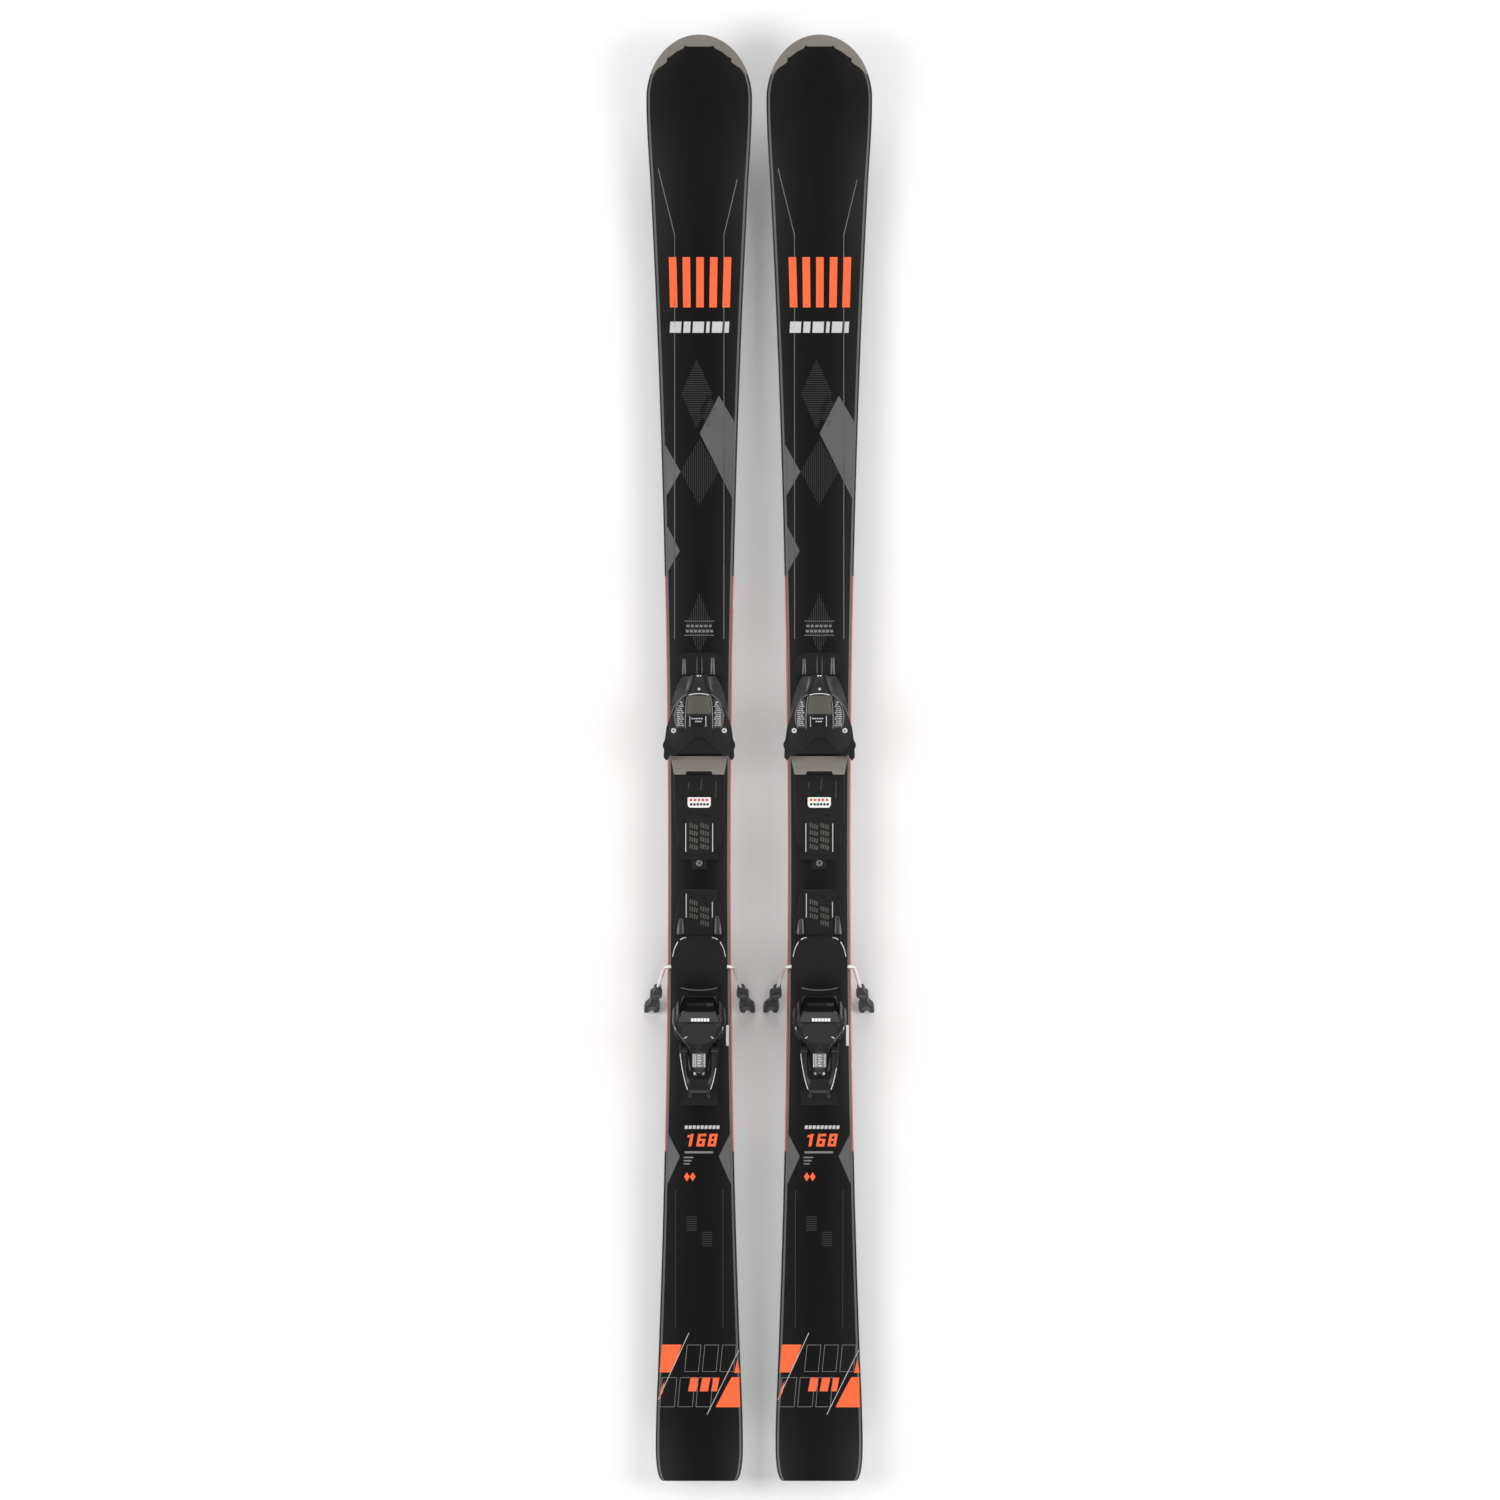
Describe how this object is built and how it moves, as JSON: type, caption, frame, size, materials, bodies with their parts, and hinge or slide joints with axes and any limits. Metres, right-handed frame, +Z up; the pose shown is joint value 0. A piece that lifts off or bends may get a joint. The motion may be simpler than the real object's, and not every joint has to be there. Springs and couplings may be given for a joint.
{
  "type": "pair of alpine skis with bindings",
  "caption": "Pair of carving skis with raised tips, sidecut and camber, each with a toe piece, a step-in heel piece and a spring-loaded ski brake.",
  "frame": {"origin": "below the middle of the pair, on the plane that the open brake feet stand on", "axes": "+X across the pair, +Y towards the tips, +Z up"},
  "size_m": [0.27, 1.675, 0.1523],
  "materials": {
    "running_base": "sintered, satin",
    "edge_steel": "ground",
    "wood_core": "planed",
    "sidewall": "orange-red, satin",
    "topsheet": "black satin print",
    "protector": "satin grey",
    "rail_plastic": "moulded",
    "screw_steel": "zinc",
    "slider_plastic": "moulded",
    "binding_plastic": "moulded, satin",
    "cover_plastic": "graphite",
    "window": "clear",
    "spring_steel": "drawn wire",
    "afd": "low friction",
    "indicator": "red",
    "axle_steel": "ground",
    "lever_plastic": "moulded, satin",
    "brake_wire": "plated",
    "foot_plastic": "moulded",
    "pad_plastic": "moulded, fine grain"
  },
  "bodies": {
    "left_ski": {"left_base": "running_base", "left_steel_edges": "edge_steel", "left_core": "wood_core", "left_sidewalls": "sidewall", "left_topsheet": "topsheet", "left_tip_protector": "protector", "left_rails": "rail_plastic", "left_rail_screws": "screw_steel"},
    "left_toe": {"left_toe_base": "slider_plastic", "left_toe_housing": "binding_plastic", "left_toe_cover": "cover_plastic", "left_toe_windows": "window", "left_toe_spring": "spring_steel", "left_wing_screws": "screw_steel"},
    "left_toe_wing_left": {"left_wing_left": "binding_plastic"},
    "left_toe_wing_right": {"left_wing_right": "binding_plastic"},
    "left_afd": {"left_afd_plate": "afd"},
    "left_toe_release_screw": {"left_toe_screw": "screw_steel"},
    "left_toe_release_indicator": {"left_toe_indicator": "indicator"},
    "left_heel_slider": {"left_heel_tongue": "slider_plastic"},
    "left_heel_carriage": {"left_heel_base": "slider_plastic", "left_heel_axle": "axle_steel"},
    "left_heel_housing": {"left_heel_housing": "binding_plastic", "left_heel_spring": "spring_steel"},
    "left_heel_lever": {"left_heel_lever": "lever_plastic"},
    "left_heel_release_screw": {"left_heel_screw": "screw_steel"},
    "left_heel_release_indicator": {"left_heel_indicator": "indicator"},
    "left_brake": {"left_brake_arms": "brake_wire", "left_brake_feet": "foot_plastic"},
    "left_brake_pad": {"left_brake_pad": "pad_plastic"},
    "right_ski": {"right_base": "running_base", "right_steel_edges": "edge_steel", "right_core": "wood_core", "right_sidewalls": "sidewall", "right_topsheet": "topsheet", "right_tip_protector": "protector", "right_rails": "rail_plastic", "right_rail_screws": "screw_steel"},
    "right_toe": {"right_toe_base": "slider_plastic", "right_toe_housing": "binding_plastic", "right_toe_cover": "cover_plastic", "right_toe_windows": "window", "right_toe_spring": "spring_steel", "right_wing_screws": "screw_steel"},
    "right_toe_wing_left": {"right_wing_left": "binding_plastic"},
    "right_toe_wing_right": {"right_wing_right": "binding_plastic"},
    "right_afd": {"right_afd_plate": "afd"},
    "right_toe_release_screw": {"right_toe_screw": "screw_steel"},
    "right_toe_release_indicator": {"right_toe_indicator": "indicator"},
    "right_heel_slider": {"right_heel_tongue": "slider_plastic"},
    "right_heel_carriage": {"right_heel_base": "slider_plastic", "right_heel_axle": "axle_steel"},
    "right_heel_housing": {"right_heel_housing": "binding_plastic", "right_heel_spring": "spring_steel"},
    "right_heel_lever": {"right_heel_lever": "lever_plastic"},
    "right_heel_release_screw": {"right_heel_screw": "screw_steel"},
    "right_heel_release_indicator": {"right_heel_indicator": "indicator"},
    "right_brake": {"right_brake_arms": "brake_wire", "right_brake_feet": "foot_plastic"},
    "right_brake_pad": {"right_brake_pad": "pad_plastic"}
  },
  "joints": [
    {"name": "left_toe_adjust", "type": "slide", "parent": "left_ski", "child": "left_toe", "axis": [0, 1, 0], "range_m": [-0.012, 0.012]},
    {"name": "left_wing_left_turn", "type": "hinge", "parent": "left_toe", "child": "left_toe_wing_left", "pos_m": [-0.0989, 0.0334, 0.10619], "axis": [0, 0, -1], "range_deg": [0, 18], "stiffness_Nm_per_rad": 4, "springref_deg": -20.05},
    {"name": "left_wing_right_turn", "type": "hinge", "parent": "left_toe", "child": "left_toe_wing_right", "pos_m": [-0.0403, 0.0334, 0.10619], "axis": [0, 0, 1], "range_deg": [0, 18], "stiffness_Nm_per_rad": 4, "springref_deg": -20.05},
    {"name": "left_afd_shift", "type": "slide", "parent": "left_toe", "child": "left_afd", "axis": [1, 0, 0], "range_m": [-0.006, 0.006], "stiffness_N_per_m": 400},
    {"name": "left_toe_release_turn", "type": "hinge", "parent": "left_toe", "child": "left_toe_release_screw", "pos_m": [-0.0696, 0.09, 0.11289], "axis": [0, 1, 0], "range_deg": [-1080, 1080]},
    {"name": "left_toe_release_travel", "type": "slide", "parent": "left_toe", "child": "left_toe_release_indicator", "axis": [0, 1, 0], "range_m": [-0.006, 0.006]},
    {"name": "left_heel_adjust", "type": "slide", "parent": "left_ski", "child": "left_heel_slider", "axis": [0, 1, 0], "range_m": [-0.012, 0.012]},
    {"name": "left_forward_pressure", "type": "slide", "parent": "left_heel_slider", "child": "left_heel_carriage", "axis": [0, -1, 0], "range_m": [0, 0.008], "stiffness_N_per_m": 15000, "springref_m": -0.005},
    {"name": "left_heel_step_in", "type": "hinge", "parent": "left_heel_carriage", "child": "left_heel_housing", "pos_m": [-0.0696, -0.312, 0.10819], "axis": [-1, 0, 0], "range_deg": [0, 25]},
    {"name": "left_heel_lever_turn", "type": "hinge", "parent": "left_heel_housing", "child": "left_heel_lever", "pos_m": [-0.0696, -0.33411, 0.11774], "axis": [-1, 0, 0], "range_deg": [0, 12.5]},
    {"name": "left_heel_release_turn", "type": "hinge", "parent": "left_heel_housing", "child": "left_heel_release_screw", "pos_m": [-0.0696, -0.31749, 0.11997], "axis": [0, 0.9063, 0.4226], "range_deg": [-900, 900]},
    {"name": "left_heel_release_travel", "type": "slide", "parent": "left_heel_housing", "child": "left_heel_release_indicator", "axis": [0, 0.9063, 0.4226], "range_m": [-0.005, 0.005]},
    {"name": "left_brake_swing", "type": "hinge", "parent": "left_heel_carriage", "child": "left_brake", "pos_m": [-0.0696, -0.24, 0.08719], "axis": [-1, 0, 0], "range_deg": [0, 58], "stiffness_Nm_per_rad": 1.2, "springref_deg": -131.78},
    {"name": "left_brake_pad_tilt", "type": "hinge", "parent": "left_brake", "child": "left_brake_pad", "pos_m": [-0.0696, -0.23459, 0.11262], "axis": [-1, 0, 0], "range_deg": [-43, 0]},
    {"name": "right_ski_lift", "type": "slide", "parent": "left_ski", "child": "right_ski", "axis": [0, 0, 1], "range_m": [0, 0.25]},
    {"name": "right_toe_adjust", "type": "slide", "parent": "right_ski", "child": "right_toe", "axis": [0, 1, 0], "range_m": [-0.012, 0.012]},
    {"name": "right_wing_left_turn", "type": "hinge", "parent": "right_toe", "child": "right_toe_wing_left", "pos_m": [0.0403, 0.0334, 0.10619], "axis": [0, 0, -1], "range_deg": [0, 18], "stiffness_Nm_per_rad": 4, "springref_deg": -20.05},
    {"name": "right_wing_right_turn", "type": "hinge", "parent": "right_toe", "child": "right_toe_wing_right", "pos_m": [0.0989, 0.0334, 0.10619], "axis": [0, 0, 1], "range_deg": [0, 18], "stiffness_Nm_per_rad": 4, "springref_deg": -20.05},
    {"name": "right_afd_shift", "type": "slide", "parent": "right_toe", "child": "right_afd", "axis": [1, 0, 0], "range_m": [-0.006, 0.006], "stiffness_N_per_m": 400},
    {"name": "right_toe_release_turn", "type": "hinge", "parent": "right_toe", "child": "right_toe_release_screw", "pos_m": [0.0696, 0.09, 0.11289], "axis": [0, 1, 0], "range_deg": [-1080, 1080]},
    {"name": "right_toe_release_travel", "type": "slide", "parent": "right_toe", "child": "right_toe_release_indicator", "axis": [0, 1, 0], "range_m": [-0.006, 0.006]},
    {"name": "right_heel_adjust", "type": "slide", "parent": "right_ski", "child": "right_heel_slider", "axis": [0, 1, 0], "range_m": [-0.012, 0.012]},
    {"name": "right_forward_pressure", "type": "slide", "parent": "right_heel_slider", "child": "right_heel_carriage", "axis": [0, -1, 0], "range_m": [0, 0.008], "stiffness_N_per_m": 15000, "springref_m": -0.005},
    {"name": "right_heel_step_in", "type": "hinge", "parent": "right_heel_carriage", "child": "right_heel_housing", "pos_m": [0.0696, -0.312, 0.10819], "axis": [-1, 0, 0], "range_deg": [0, 25]},
    {"name": "right_heel_lever_turn", "type": "hinge", "parent": "right_heel_housing", "child": "right_heel_lever", "pos_m": [0.0696, -0.33411, 0.11774], "axis": [-1, 0, 0], "range_deg": [0, 12.5]},
    {"name": "right_heel_release_turn", "type": "hinge", "parent": "right_heel_housing", "child": "right_heel_release_screw", "pos_m": [0.0696, -0.31749, 0.11997], "axis": [0, 0.9063, 0.4226], "range_deg": [-900, 900]},
    {"name": "right_heel_release_travel", "type": "slide", "parent": "right_heel_housing", "child": "right_heel_release_indicator", "axis": [0, 0.9063, 0.4226], "range_m": [-0.005, 0.005]},
    {"name": "right_brake_swing", "type": "hinge", "parent": "right_heel_carriage", "child": "right_brake", "pos_m": [0.0696, -0.24, 0.08719], "axis": [-1, 0, 0], "range_deg": [0, 58], "stiffness_Nm_per_rad": 1.2, "springref_deg": -131.78},
    {"name": "right_brake_pad_tilt", "type": "hinge", "parent": "right_brake", "child": "right_brake_pad", "pos_m": [0.0696, -0.23459, 0.11262], "axis": [-1, 0, 0], "range_deg": [-43, 0]}
  ],
  "couplings": [
    {"joint": "left_toe_release_travel", "follows": "left_toe_release_turn", "m_per_rad": 0.00031831},
    {"joint": "left_heel_lever_turn", "follows": "left_heel_step_in", "ratio": 0.5},
    {"joint": "left_heel_release_travel", "follows": "left_heel_release_turn", "m_per_rad": 0.00031831},
    {"joint": "left_brake_pad_tilt", "follows": "left_brake_swing", "ratio": -0.7414},
    {"joint": "right_toe_release_travel", "follows": "right_toe_release_turn", "m_per_rad": 0.00031831},
    {"joint": "right_heel_lever_turn", "follows": "right_heel_step_in", "ratio": 0.5},
    {"joint": "right_heel_release_travel", "follows": "right_heel_release_turn", "m_per_rad": 0.00031831},
    {"joint": "right_brake_pad_tilt", "follows": "right_brake_swing", "ratio": -0.7414}
  ]
}
